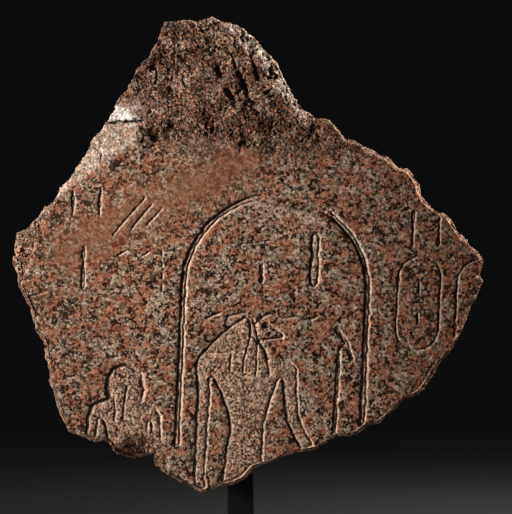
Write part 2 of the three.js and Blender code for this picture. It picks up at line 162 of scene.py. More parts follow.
def distance_inside(mask, reach):
    """Distance in millimetres from each point of a mask to the mask's edge, up to a reach."""
    steps = int(reach / MAP_STEP)
    columns = np.arange(mask.shape[1])
    left = np.maximum.accumulate(np.where(mask, -FAR_COLUMN, columns), axis=1)
    right = np.minimum.accumulate(np.where(mask, FAR_COLUMN, columns)[:, ::-1], axis=1)[:, ::-1]
    row_distance = np.minimum(np.minimum(columns - left, right - columns), steps).astype(float) ** 2
    best = row_distance.copy()
    for k in range(1, steps + 1):
        best[k:] = np.minimum(best[k:], row_distance[:-k] + k * k)
        best[:-k] = np.minimum(best[:-k], row_distance[k:] + k * k)
    return np.sqrt(best) * MAP_STEP


# Where the face is broken: above the ragged line of the top break, on the chip down the upper left edge,
# on the left tip, along the turned crest at the top right, and in the spall under the small figure.
TOP_BREAK_U = (-135, -112, -60, -10, 25, 80, 130, 190)
TOP_BREAK_V = (424, 398, 401, 396, 386, 392, 390, 366)
CRACK_V = 427
CHIP_LINE = ((-222, 338), (-133, 403))
CHIP_END_U = -128
FACET_END_U = -121
FACET_FADE_V = (442, 456)
TIP_LINE = ((-262, 234), (-243, 297))
TIP_END_U = -225
TIP_FOOT_V = 215
CREST_LINE = ((-22, 532), (62, 424))
SPALL_MIDDLE = (-124, 38)
SPALL_REACH = 31
SPALL_FADE = 8
SPALL_DEPTH = 16


def left_of(line, u, v):
    (u0, v0), (u1, v1) = line
    return ((u1 - u0) * (v - v0) - (v1 - v0) * (u - u0)) / math.hypot(u1 - u0, v1 - v0)


def above_break(u, v):
    return v - np.interp(u, TOP_BREAK_U, TOP_BREAK_V)


def chip_share(u, v):
    lower = step_between(-1, 2, left_of(CHIP_LINE, u, v)) * (u < CHIP_END_U)
    upper = step_between(-3, 3, FACET_END_U - u) * step_between(-1, 1, v - CRACK_V)
    upper *= 1 - step_between(*FACET_FADE_V, v)
    return np.maximum(lower * (v < CRACK_V), upper)


def top_share(u, v):
    return step_between(-5, 7, above_break(u, v)) * (1 - chip_share(u, v))


def tip_share(u, v):
    return step_between(-1, 3, left_of(TIP_LINE, u, v)) * (u < TIP_END_U) * (v > TIP_FOOT_V)


def from_spall(u, v):
    return np.hypot(u - SPALL_MIDDLE[0], v - SPALL_MIDDLE[1])


def spall_share(u, v):
    return step_between(0, SPALL_FADE, SPALL_REACH - from_spall(u, v))


top_map = top_share(U, V + 5 * hills(14, 1))
chip_map = chip_share(U + 7 * hills(12, 7), V + 1.5 * hills(9, 2))
broken_map = np.maximum.reduce([top_map, chip_map, tip_share(U, V), spall_share(U, V)])

# The carving: walls slope in to a groove along each outline, floors swell up from it towards the middle
# of a limb, and single lines are plain V cuts. Outlines waver, floors stay pecked, and edges are worn.
DRESSED_DEPTH = 9
CARVED_DEPTH = 0.9
DEEPEST_FLOOR = 4.9
FLOOR_SHARE = 0.7
FLOOR_SPREAD = 0.7
FLOOR_REACH = 16
LEAST_DEPTH = 0.6
WALL_SLOPE = 1.3
SWELL_LENGTH = 1.4
LINE_RADIUS = 2.3
LINE_SPREAD = 0.4
LINE_SLOPE = 0.88
LINE_DEPTH = 2.4
LINE_REACH = 5
DEEP_LINE_GAIN = 1.5
SPREAD_REACH = 3
WIDEN_STEPS = (-2, -1, 0, 1, 2)
RIM_REACH = 24
RIM_BAND = 3
WAVER_ACROSS = ((1.1, 11, 3), (0.8, 5, 4), (0.6, 2.6, 8))
WAVER_UP = ((1.1, 11, 5), (0.8, 5, 6), (0.6, 2.6, 9))
HORN_BOX = (-56, 86, 194, 214)
HORN_SOLID_DEPTH = 2.8
stone_here = solid_map < NO_STONE - 1
rim_distance = distance_inside(stone_here, RIM_REACH)
dressed_zone = (solid_map < DRESSED_DEPTH) & (broken_map < 0.5) & (rim_distance > RIM_BAND)
waver_u = layered(WAVER_ACROSS)
waver_v = layered(WAVER_UP)
shallow_map = np.minimum(solid_map, DRESSED_DEPTH)
cut_depth = np.where(dressed_zone, at_places(shallow_map, U + waver_u, V + waver_v), 0)
in_horn_box = (U > HORN_BOX[0]) & (U < HORN_BOX[1]) & (V > HORN_BOX[2]) & (V < HORN_BOX[3])
carved = cut_depth > np.where(in_horn_box, HORN_SOLID_DEPTH, CARVED_DEPTH)
inside_core = distance_inside(carved, LINE_REACH) > LINE_RADIUS
floors = carved & (distance_inside(~inside_core, LINE_REACH) <= LINE_RADIUS + MAP_STEP)
lines = carved & (~floors | (cut_depth > DEEPEST_FLOOR))
floor_value = np.where(floors, np.minimum(cut_depth, DEEPEST_FLOOR), 0)
for axis in (0, 1):
    floor_value = np.maximum.reduce([np.roll(floor_value, k, axis) for k in WIDEN_STEPS])
floors = dressed_zone & (distance_inside(~floors, SPREAD_REACH) <= FLOOR_SPREAD)
lines = dressed_zone & (distance_inside(~lines, SPREAD_REACH) <= LINE_SPREAD)
carved = floors | lines
into_carving = distance_inside(floors, FLOOR_REACH)
into_line = distance_inside(lines, LINE_REACH)

# Both heads are cut a little deeper, the arch is worn away at its top right, and the spall took its carving.
HEAD_PLACE = (24, 187)
HEAD_REACH = 20
HEAD_GAIN = 0.4
SMALL_HEAD_PLACE = (-143, 112)
SMALL_HEAD_REACH = 34
SMALL_HEAD_GAIN = 0.35
SMALL_HEAD_SWELL = 2.2
ARCH_FOOT_V = 318
ARCH_LOSS = 0.75


def close_to(middle, reach):
    return np.exp(-((U - middle[0]) ** 2 + (V - middle[1]) ** 2) / reach**2)


by_head = close_to(HEAD_PLACE, HEAD_REACH)
by_small_head = close_to(SMALL_HEAD_PLACE, SMALL_HEAD_REACH)
by_spall = step_between(-9, 0, SPALL_REACH - from_spall(U, V))
worn_arch = step_between(-20, 30, U) * (1 - step_between(72, 112, U)) * (V > ARCH_FOOT_V)
groove = FLOOR_SHARE * floor_value * (1 + HEAD_GAIN * by_head + SMALL_HEAD_GAIN * by_small_head)
groove *= (0.9 + 0.5 * hills(10, 17)) * (1 - ARCH_LOSS * worn_arch) * (1 - by_spall)
swell_length = SWELL_LENGTH + SMALL_HEAD_SWELL * by_small_head
past_wall = np.maximum(0, into_carving - groove / WALL_SLOPE)
swollen = LEAST_DEPTH + np.maximum(0, groove - LEAST_DEPTH) * np.exp(-past_wall / swell_length)
floor_depth = np.where(floors, np.minimum(WALL_SLOPE * into_carving, swollen), 0)
line_depth = np.where(lines, np.minimum(LINE_SLOPE * into_line, LINE_DEPTH), 0)
line_depth *= np.clip(0.95 + 0.8 * hills(8, 16), 0.5, 1.3) * (1 - by_spall)
line_depth *= np.where(cut_depth > DEEPEST_FLOOR, DEEP_LINE_GAIN, 1)

# Thin chiselled lines: the wavy horns, the edge of the muzzle and the locks of the wig,
# each with a half width and a depth, and the dark pits of the eye, the nostril and the horn's root.
HORNS = (
    ((-48.5, 201.5), (-32.7, 207)),
    ((-23, 202.5), (-4.5, 207)),
    (
        ((14, 201), (20, 205), (26, 206.5), (34, 201), (41, 200))
        + ((49.5, 202.5), (56.5, 202.5), (65, 198.5), (71, 199.5), (79, 203))
    ),
)
HORN_CUT = (2.4, 2.1)
MUZZLE = ((14.3, 200.8), (35.4, 185.6), (39, 182), (38.3, 178), (28.4, 177.8), (12, 174))
MUZZLE_CUT = (1.9, 2.0)
WIG_LINES = (
    ((-48, 160.5), (-35, 161.5), (-21, 161.5)),
    ((-20.3, 160.3), (-20.8, 152), (-21.8, 141)),
    ((0, 198), (2.3, 182), (8.6, 174.5)),
)
WIG_CUT = (1.9, 1.7)
DARK_PITS = ((18.4, 192, 2.7), (24.8, 183.4, 2.0), (13.5, 204.5, 1.8))
PIT_DEPTH = 1.8


def chiselled(route, half_width, depth):
    """A V groove along a route of straight pieces, as depth over the whole face."""
    away = np.full(U.shape, np.inf)
    for (u0, v0), (u1, v1) in zip(route, route[1:]):
        along = ((U - u0) * (u1 - u0) + (V - v0) * (v1 - v0)) / ((u1 - u0) ** 2 + (v1 - v0) ** 2)
        along = np.clip(along, 0, 1)
        off_u = U + waver_u - u0 - along * (u1 - u0)
        off_v = V + waver_v - v0 - along * (v1 - v0)
        away = np.minimum(away, np.hypot(off_u, off_v))
    return depth * np.clip(1 - away / half_width, 0, 1)


horn_depth = np.maximum.reduce([chiselled(route, *HORN_CUT) for route in HORNS])
line_depth = np.maximum(line_depth, horn_depth) + chiselled(MUZZLE, *MUZZLE_CUT)
line_depth += np.maximum.reduce([chiselled(route, *WIG_CUT) for route in WIG_LINES])
carved |= line_depth > 0.1
pit_map = sum(close_to((pit_u, pit_v), radius) for pit_u, pit_v, radius in DARK_PITS)
line_depth += PIT_DEPTH * pit_map
spall_away = from_spall(U, V) + 8 * hills(14, 71) + 4 * hills(6, 72)
spall_depth = SPALL_DEPTH * np.clip(1 - spall_away / SPALL_REACH, 0, 1) * (1 + 0.6 * hills(7, 73))
worked_depth = np.maximum(floor_depth + line_depth, spall_depth)
DEEPEST_SPALL = 30
change = np.where(dressed_zone | (by_spall > 0), worked_depth - np.minimum(solid_map, DEEPEST_SPALL), 0)

# Painted light: walls facing up and left, towards the key light, and the horns' lower walls get a painted
# highlight; walls facing away, the horns' upper walls and the pits get painted shade.
KEY_LIGHT_UP = 0.33
KEY_LIGHT_LEFT = 0.94
rise_v, rise_u = np.gradient(floor_depth + line_depth, MAP_STEP)
turned_left = KEY_LIGHT_UP * rise_v - KEY_LIGHT_LEFT * rise_u
horn_rise = np.gradient(horn_depth, MAP_STEP, axis=0)
painted_highlight_map = np.maximum(step_between(0.14, 0.45, turned_left), step_between(0.2, 0.7, horn_rise))
painted_shade_map = np.maximum(step_between(0.2, 0.65, -turned_left), np.clip(1.2 * pit_map, 0, 1))
painted_shade_map = np.maximum(painted_shade_map, 0.7 * step_between(0.2, 0.7, -horn_rise))
FLOOR_PECKS = ((0.3, 3.6, 11), (0.6, 9, 12))
EDGE_WEAR = ((1.0, 13, 13), (0.6, 5, 14))
EDGE_WIDTH = 2
pecked = step_between(1.5, 4, into_carving) * floors
change += pecked * (layered(FLOOR_PECKS) + 0.35 * facets(3.2, 15, 0.5))
out_of_carving = distance_inside(~carved, LINE_REACH)
edge = near(out_of_carving, EDGE_WIDTH) * (~carved) * (broken_map < 0.5)
change += edge * np.maximum(0, layered(EDGE_WEAR))

# The dressed ground: not quite flat, with shallow scrapes, and worn down and chipped along the broken rim.
GROUND_SWELL = ((0.9, 95, 21), (0.5, 33, 22), (0.16, 8, 23))
SCRAPE_TURN = 0.62
RIM_WIDTH = 6
RIM_DEPTH = 10
RIGHT_RIM_U = (175, 210)
RIGHT_RIM_WIDTH = 5
dressed = 1 - broken_map
change += dressed * layered(GROUND_SWELL)
scrape = np.maximum(0, hills(11, 24, stretch=5, turn=SCRAPE_TURN) - 0.28)
change += dressed * 0.9 * scrape
by_rim = step_between(0, 1, (RIM_WIDTH - rim_distance) / RIM_BAND) * dressed * (solid_map < RIM_DEPTH)
rim_kept = np.clip(0.3 + 1.3 * hills(10, 27) + 0.6 * hills(4, 28), 0.08, 1)
change -= by_rim * (1 - rim_kept) * shallow_map
rim_wear = 0.5 + 1.8 * hills(9, 25) + 0.7 * facets(5, 26, 0.4)
change += dressed * near(rim_distance, RIM_WIDTH) * rim_wear
right_rim = step_between(*RIGHT_RIM_U, U) * near(rim_distance, RIGHT_RIM_WIDTH) * dressed
change += right_rim * np.maximum(0, 1.2 + 4.5 * hills(9, 29))

# The breaks: lumpy and granular at the top, with long ridges and grooves down the turned crest
# and deep ragged hollows, each given by its middle, half width, half height and depth.
BREAK_LUMPS = ((1.5, 22, 31), (0.5, 9, 32))
CREST_TURNS = (-1.05, -0.95)
HOLLOWS = (
    (-8, 522, 6, 10, 5),
    (26, 481, 8, 11, 6),
    (26, 461, 9, 5, 4),
    (6, 453, 11, 6, 4),
    (-106, 474, 4, 8, 4),
    (-109, 490, 6, 6, 4),
    (-6, 399, 13, 5, 3),
    (-44, 412, 5, 5, 3),
    (-121, 408, 5, 4, 4),
    (-113, 398, 6, 4, 4),
)
HOLLOW_EDGE = 1.3
CREST_GROOVES = (
    ((-24, 510), (-12, 486), (-2, 462), (9, 440)),
    ((-37, 490), (-25, 464), (-15, 446)),
    ((2, 502), (11, 480), (19, 462)),
)
GROOVE_CUT = (5, 4)
crest_share = step_between(-34, 0, left_of(CREST_LINE, U, V)) * (1 - step_between(50, 110, U))
weathered = step_between(40, 110, U)
granular = layered(BREAK_LUMPS) + 0.55 * facets(6, 33, 0.5) + 0.9 * facets(3.2, 34, 0.6)
ridges = 3.4 * np.abs(hills(9, 35, stretch=4, turn=CREST_TURNS[0]))
ridges = ridges + 2.0 * np.abs(hills(4.5, 36, stretch=4, turn=CREST_TURNS[1]))
pits = np.maximum(0, hills(13, 37) - 0.36) * 22 + np.maximum(0, hills(7, 38) - 0.44) * 14
top_rough = granular * (1 - 0.3 * weathered) + ridges * crest_share + pits * (0.25 + 0.8 * crest_share)
change += top_map * top_rough * step_between(-4, 16, above_break(U, V))
stray_u = U + 9 * hills(9, 47)
stray_v = V + 9 * hills(9, 48)
for middle_u, middle_v, half_width, half_height, fall in HOLLOWS:
    away = np.hypot((stray_u - middle_u) / half_width, (stray_v - middle_v) / half_height)
    hollow = fall * step_between(0, HOLLOW_EDGE, HOLLOW_EDGE - away)
    change += hollow * (1 + facets(5, 49, 0.3)) * stone_here
grooves = np.maximum.reduce([chiselled(route, *GROOVE_CUT) for route in CREST_GROOVES])
change += top_map * grooves * np.clip(0.8 + 1.3 * hills(12, 50), 0.2, 1.4)
change += chip_map * (0.8 * hills(9, 41) + 0.7 * facets(5, 42, 0.4) + 0.4 * hills(3, 43))
other_breaks = np.maximum(tip_share(U, V), spall_share(U, V))
change += other_breaks * (1.8 * hills(9, 44) + facets(6, 45, 0.6) + 0.6 * hills(3, 46))

# The solid's straight scarp beside the pale facet is evened out, and the valley under it is filled a little.
SCARP_U = -119
SCARP_REACH = 12
SCARP_FADE_V = (430, 440)
SCARP_DEEPEST = 60
VALLEY_U = -107
VALLEY_REACH = 15
VALLEY_RISE = 5.5
VALLEY_FADE_V = (404, 424)
reach_steps = round(SCARP_REACH / MAP_STEP)
whole = np.minimum(solid_map, SCARP_DEEPEST)
evened = sum(np.roll(whole, k, 1) for k in range(-reach_steps, reach_steps + 1)) / (2 * reach_steps + 1)
by_scarp = np.exp(-(((U - SCARP_U) / SCARP_REACH) ** 2)) * step_between(*SCARP_FADE_V, V)
by_scarp *= rim_distance > SCARP_REACH
change += by_scarp * (evened - whole)
in_valley = np.exp(-(((U - VALLEY_U) / VALLEY_REACH) ** 2)) * step_between(*VALLEY_FADE_V, V)
change -= VALLEY_RISE * in_valley * stone_here

# The crack across the upper left edge is a narrow gap under the pale facet.
CRACK_TILT = 0.02
CRACK_MIDDLE_U = -150
CRACK_LEFT_U = (-172, -166)
CRACK_RIGHT_U = (-126, -118)
CRACK_HALF_WIDTH = 1.1
CRACK_DEPTH = 6
crack_line = CRACK_V + CRACK_TILT * (U - CRACK_MIDDLE_U) + 1.2 * hills(12, 51)
crack = np.exp(-((V - crack_line) / CRACK_HALF_WIDTH) ** 2)
crack = crack * step_between(*CRACK_LEFT_U, U) * (1 - step_between(*CRACK_RIGHT_U, U))
change += CRACK_DEPTH * crack

# The solid is turned into an even mesh and the changes are laid on its face. The top edge is raised
# a few millimetres to its true height, most of all at the left shoulder.
VOXEL = 0.95 * MM
DEEPEST_FACE = 90
FACE_SLACK = 12
SPALL_LIMIT = 25
DRESSED_RIM = 3.5
TOP_RISE = 2.3
TOP_RISE_V = (480, 540)
SHOULDER_RISE = 2.4
SHOULDER_U = -98
SHOULDER_REACH = 17
WALL_WELD = 0.3 * MM
even = stone.modifiers.new("even_mesh", "REMESH")
even.mode = "VOXEL"
even.voxel_size = VOXEL
even.use_smooth_shade = True
even.show_viewport = False
bpy.ops.object.modifier_apply(modifier=even.name)


def stone_points():
    """The stone's points in millimetres as u, v and depth, and how far each looks out of the carved face."""
    count = len(stone.data.vertices)
    place = np.empty(count * 3, np.float32)
    facing = np.empty(count * 3, np.float32)
    stone.data.vertices.foreach_get("co", place)
    stone.data.vertex_normals.foreach_get("vector", facing)
    x, y, z = place.reshape(-1, 3).T.astype(float) / MM
    return x, z - STONE_FOOT_Z, y - FACE_Y, -facing.reshape(-1, 3)[:, 1]


u, v, depth, facing = stone_points()
off_solid = np.abs(depth - at_places(np.minimum(solid_map, DEEPEST_FACE), u, v))
on_face = step_between(-0.1, 0.35, facing) * (off_solid < FACE_SLACK)
spalled = (at_places(by_spall, u, v) > 0) & (depth < SPALL_LIMIT)
on_dressed = (depth < DRESSED_DEPTH) & (at_places(broken_map, u, v) < 0.5) | spalled
on_dressed &= at_places(rim_distance, u, v) > DRESSED_RIM
shaped = at_places(np.minimum(solid_map + change, DEEPEST_FACE), u, v)
depth = np.where(on_dressed, shaped, depth + on_face * at_places(change, u, v))
by_shoulder = np.exp(-(((u - SHOULDER_U) / SHOULDER_REACH) ** 2))
rise = (TOP_RISE + SHOULDER_RISE * by_shoulder) * step_between(*TOP_RISE_V, v)
place = np.stack([u, depth + FACE_Y, v + rise + STONE_FOOT_Z], 1) * MM
stone.data.vertices.foreach_set("co", place.astype(np.float32).ravel())
stone.data.update()
bpy.ops.object.mode_set(mode="EDIT")
bpy.ops.mesh.select_all(action="SELECT")
bpy.ops.mesh.remove_doubles(threshold=WALL_WELD)
bpy.ops.object.mode_set(mode="OBJECT")

# The broken sides are rougher than the solid's: lumps, then grains, pushed in and out along the surface.
# The mesh is then thinned, least of all along the carving, and the sawn back is left flat.
SIDE_GROUP = "broken_sides"
SIDE_LEVELS = 10
SIDE_ROUGHNESS = (
    ("side_lumps", 13 * MM, 7.5 * MM, "ORIGINAL_PERLIN"),
    ("side_grains", 5 * MM, 4.2 * MM, "VORONOI_F1"),
)
FRONT_FACING = 0.55
CRISP_GROUP = "crisp_carving"
CRISP_REACH = 3
CRISP_FROM = 0.3
CRISP_WEIGHT = 0.9
STONE_TRIANGLES = 196000
SHARP_FROM = math.radians(50)
BACK_FACING = 0.9
BACK_SLACK = 1.5 * MM
u, v, depth, facing = stone_points()
side_share = step_between(2, 8, depth) * step_between(0.1, 0.5, 1 - np.abs(facing))
side_share *= step_between(0, 4, THICKNESS - depth)
worked = np.clip(at_places(np.maximum(top_map, carved), u, v), 0, 1)
side_share *= 1 - worked * (facing > FRONT_FACING)
crisp_share = at_places(near(out_of_carving, CRISP_REACH), u, v) * (depth < DRESSED_DEPTH)
crisp_group = stone.vertex_groups.new(name=CRISP_GROUP)
crisp_group.add(np.flatnonzero(crisp_share > CRISP_FROM).tolist(), CRISP_WEIGHT, "REPLACE")
side_group = stone.vertex_groups.new(name=SIDE_GROUP)
levels = np.round(side_share * SIDE_LEVELS).astype(int)
for level in range(1, SIDE_LEVELS + 1):
    side_group.add(np.flatnonzero(levels == level).tolist(), level / SIDE_LEVELS, "REPLACE")
for name, size, height, basis in SIDE_ROUGHNESS:
    texture = bpy.data.textures.new(name, "CLOUDS")
    texture.noise_scale = size
    texture.noise_basis = basis
    texture.noise_depth = 1
    push = stone.modifiers.new(name, "DISPLACE")
    push.texture = texture
    push.texture_coords = "LOCAL"
    push.vertex_group = SIDE_GROUP
    push.strength = height
    push.mid_level = 0.5
    push.show_viewport = False
    bpy.ops.object.modifier_apply(modifier=push.name)

stone.data.calc_loop_triangles()
thin = stone.modifiers.new("thinned", "DECIMATE")
thin.ratio = min(1.0, STONE_TRIANGLES / len(stone.data.loop_triangles))
thin.vertex_group = CRISP_GROUP
thin.invert_vertex_group = True
thin.vertex_group_factor = 1
thin.show_viewport = False
bpy.ops.object.modifier_apply(modifier=thin.name)
stone.vertex_groups.clear()
bpy.ops.object.shade_smooth_by_angle(angle=SHARP_FROM)
for face in stone.data.polygons:
    if face.normal.y > BACK_FACING and face.center.y > BACK_Y * MM - BACK_SLACK:
        face.use_smooth = False

# Zones for the colouring, kept on the mesh: broken stone, pale crushed stone with a painted highlight along
# the turned crest, carved floors, painted highlight and painted shade on the carving's walls, pits and
# crack, the white facet, broad painted shade, rosier stone, the smooth reddish band, and the sawn back.
RAGGED_EDGE = ((7, 13, 61), (4, 5, 62))
CREST_WIDTH = 17
CREST_FADE = 9
FACET_TOP_U = (-163, -122)
FACET_TOP_V = (449, 432)
PATINA_LINE = ((-235, 268), (10, 392))
PATINA_WIDTH = 26
u, v, depth, facing = stone_points()
face_share = step_between(0.15, 0.5, facing)
ragged = layered(RAGGED_EDGE, u, v)
from_rim = at_places(rim_distance, u, v)
side = step_between(3.5, 7, depth) * (1 - step_between(0.45, 0.75, facing)) * (depth < THICKNESS - 2)
top = top_share(u, v + ragged) * face_share
chip = chip_share(u + ragged, v + 0.3 * ragged) * face_share
tip = np.maximum(tip_share(u, v), spall_share(u + 2 * ragged, v + ragged)) * face_share
near_rim = step_between(0, 1, (CREST_WIDTH - from_rim + 1.4 * ragged) / CREST_FADE)
crest = step_between(-10, 8, left_of(CREST_LINE, u, v)) * (1 - step_between(55, 80, u)) * top * near_rim
rim = step_between(0, 1, (RIM_WIDTH - from_rim + 0.5 * ragged) / RIM_WIDTH) * face_share
facet = chip * step_between(CRACK_V - 1, CRACK_V + 2, v) * (1 - 0.4 * step_between(-142, -126, u + ragged))
facet_top = np.interp(u, FACET_TOP_U, FACET_TOP_V)
facet *= 1 - 0.85 * step_between(-3, 3, v + 0.6 * ragged - facet_top)
under_crack = np.exp(-(((v - CRACK_V + 3) / 1.3) ** 2)) * (u < CRACK_RIGHT_U[0])
facet = np.maximum(facet, 0.8 * chip * under_crack)
chip_edge = chip * step_between(8, 22, left_of(CHIP_LINE, u, v))
band = np.exp(-((left_of(PATINA_LINE, u, v) + 1.2 * ragged) / PATINA_WIDTH) ** 2)
band *= step_between(-245, -200, u) * (1 - step_between(-10, 30, u)) * (1 - np.clip(top + chip, 0, 1))
# Painted shade: darker to the right and at the far left, low in the spall, low on the top break and at its
# top right.
painted_broad_shade = 0.3 * step_between(90, 240, u) + 0.2 * (1 - step_between(-220, -100, u)) * (1 - chip)
painted_broad_shade += 0.6 * spall_share(u, v) * (1 - step_between(26, 44, v))
painted_broad_shade += 0.26 * top * (1 - step_between(410, 445, v))
painted_broad_shade += (0.07 + 0.1 * step_between(-20, 0, u)) * top * (1 - crest)
zones = {
    "broken": np.clip(np.maximum.reduce([top, tip, side, 0.45 * chip, 0.5 * rim]), 0, 1),
    # pale: crushed stone on the chip, sides and tip, and a painted highlight along the turned crest
    "pale": np.clip(0.42 * chip + 0.06 * chip_edge + 0.75 * crest + 0.2 * side + 0.05 * tip, 0, 1),
    "floor": np.clip(at_places(pecked, u, v), 0, 1) * face_share,
    # painted highlight on carved walls that face the key light, and on the horns' lower walls
    "painted_highlight": np.clip(at_places(painted_highlight_map, u, v), 0, 1) * (depth < DRESSED_DEPTH),
    # painted shade on carved walls that face away from the key light, in the pits and in the crack
    "painted_shade": np.clip(at_places(np.maximum(painted_shade_map, crack), u, v), 0, 1),
    "white": np.clip(facet, 0, 1),
    # painted shade over broad areas
    "painted_broad_shade": np.clip(painted_broad_shade, 0, 1),
    "rosy": np.maximum(1 - step_between(-190, -90, u), step_between(110, 190, u)),
    "patina": np.clip(band, 0, 1) * face_share,
    "sawn": step_between(THICKNESS - 3, THICKNESS - 1, depth),
}
for name, share in zones.items():
    stone.data.attributes.new(name, "FLOAT", "POINT").data.foreach_set("value", share.astype(np.float32))

# Granite: crystals of salmon feldspar and grey-beige plagioclase with black mica in ragged clusters.
# Every scale is in patterns to the metre, and every colour is red, green and blue as light.
granite = bpy.data.materials.new("granite")
granite.use_nodes = True
tree = granite.node_tree
shader = tree.nodes["Principled BSDF"]


def node(kind, **settings):
    made = tree.nodes.new(kind)
    for name, value in settings.items():
        setattr(made, name, value)
    return made


def wire(source, target):
    tree.links.new(source, target)


def fill(socket, value):
    if isinstance(value, bpy.types.NodeSocket):
        wire(value, socket)
    else:
        socket.default_value = value


def maths(operation, first, second, clamp=False):
    made = node("ShaderNodeMath", operation=operation, use_clamp=clamp)
    fill(made.inputs[0], first)
    fill(made.inputs[1], second)
    return made.outputs[0]


def plus(first, second):
    return maths("ADD", first, second)


def minus(first, second, clamp=False):
    return maths("SUBTRACT", first, second, clamp)


def times(first, second):
    return maths("MULTIPLY", first, second)


def rest_of(share):
    return minus(1.0, share)


def mixed(share, first, second, blend="MIX"):
    made = node("ShaderNodeMix", data_type="RGBA", blend_type=blend)
    fill(made.inputs[0], share)
    fill(made.inputs[6], first)
    fill(made.inputs[7], second)
    return made.outputs[2]


def ramp(value, stops):
    made = node("ShaderNodeValToRGB")
    fill(made.inputs[0], value)
    band = made.color_ramp
    while len(band.elements) < len(stops):
        band.elements.new(0.5)
    for element, (place, colour) in zip(band.elements, stops):
        element.position = place
        element.color = (*colour, 1)
    return made.outputs[0]


def spread(value, low, high):
    made = node("ShaderNodeMapRange", interpolation_type="SMOOTHSTEP")
    fill(made.inputs[0], value)
    made.inputs[1].default_value = low
    made.inputs[2].default_value = high
    return made.outputs[0]


def zone(name):
    return node("ShaderNodeAttribute", attribute_name=name).outputs["Fac"]


def noise(vector, scale, detail=2.0, rough=0.5, output="Fac"):
    made = node("ShaderNodeTexNoise")
    wire(vector, made.inputs["Vector"])
    made.inputs["Scale"].default_value = scale
    made.inputs["Detail"].default_value = detail
    made.inputs["Roughness"].default_value = rough
    return made.outputs[output]


def cells(vector, scale):
    made = node("ShaderNodeTexVoronoi")
    wire(vector, made.inputs["Vector"])
    made.inputs["Scale"].default_value = scale
    return made


def cell_numbers(vector, scale):
    """Three random numbers that stay the same all over each cell."""
    made = node("ShaderNodeSeparateColor")
    wire(cells(vector, scale).outputs["Color"], made.inputs[0])
    return made.outputs


def vector_maths(operation, first, second):
    made = node("ShaderNodeVectorMath", operation=operation)
    fill(made.inputs[0], first)
    fill(made.inputs[1], second)
    return made


STIR_SCALE = 230
STIR_REACH = 0.0035
CRYSTAL_SCALE = 118
GRAIN_SCALE = 300
FLECK_SCALE = 410
GRIT_SCALE = 640
PATCH_SCALE = 60
CLUSTER_SCALE = 95
MICA_BLACK = (0.018, 0.006, 0.002, 1)
DARK_FLECK = (0.017, 0.006, 0.002, 1)
PALE_GRAIN_AND_GLINT = (0.64, 0.47, 0.355, 1)
ROSY_GRIT = (1.42, 1.14, 1.05, 1)
GREY_GRIT = (1.07, 1.29, 1.36, 1)
place = node("ShaderNodeTexCoord").outputs["Object"]
stirred = vector_maths("MULTIPLY_ADD", noise(place, STIR_SCALE, 1.5, output="Color"), (STIR_REACH,) * 3)
wire(place, stirred.inputs[2])
ragged_place = stirred.outputs[0]

crystal_number = cell_numbers(ragged_place, CRYSTAL_SCALE)
grain_number = cell_numbers(ragged_place, GRAIN_SCALE)
fleck_number = cell_numbers(place, FLECK_SCALE)
patch = noise(place, PATCH_SCALE, 3, 0.6)
hue_key = plus(times(crystal_number[0], 0.5), times(patch, 0.5))
hue_key = minus(hue_key, times(zone("rosy"), 0.045))
crystal = ramp(
    hue_key,
    (
        (0.30, (0.38, 0.145, 0.075)),
        (0.46, (0.355, 0.163, 0.09)),
        (0.50, (0.28, 0.162, 0.098)),
        (0.56, (0.295, 0.20, 0.127)),
        (0.72, (0.34, 0.245, 0.17)),
    ),
)
grain_light = ramp(grain_number[0], ((0, (0.42, 0.38, 0.35)), (0.5, (0.86, 0.85, 0.84)), (1, (1, 1, 1))))
grained = mixed(1.0, crystal, grain_light, "MULTIPLY")
cluster = noise(place, CLUSTER_SCALE, 4, 0.7)
mica_chance = plus(0.11, times(rest_of(spread(cluster, 0.37, 0.53)), 0.6))
mica = maths("LESS_THAN", grain_number[1], mica_chance)
with_mica = mixed(times(mica, 0.96), grained, MICA_BLACK)
by_mica = rest_of(spread(cluster, 0.42, 0.6))
greyish = spread(hue_key, 0.44, 0.58)
dark_fleck = times(rest_of(spread(fleck_number[0], 0.19, 0.27)), 0.95)
with_dark = mixed(times(dark_fleck, plus(0.45, times(by_mica, 0.55))), with_mica, DARK_FLECK)
# Pale specks stand for pale grains and for painted glints of crystal faces catching the light.
pale_grain_and_glint = times(spread(fleck_number[0], 0.76, 0.84), 0.55)
with_flecks_and_glints = mixed(times(pale_grain_and_glint, plus(0.45, times(greyish, 0.55))), with_dark, PALE_GRAIN_AND_GLINT)
grit_number = cell_numbers(place, GRIT_SCALE)
grit_light = ramp(grit_number[0], ((0, (0.16, 0.11, 0.08)), (0.3, (0.8, 0.8, 0.8)), (1, (1.0, 1.0, 1.0))))
grit_hue = mixed(grit_number[1], ROSY_GRIT, GREY_GRIT)
grit = mixed(1.0, grit_light, grit_hue, "MULTIPLY")
gritty = mixed(0.9, with_flecks_and_glints, grit, "MULTIPLY")

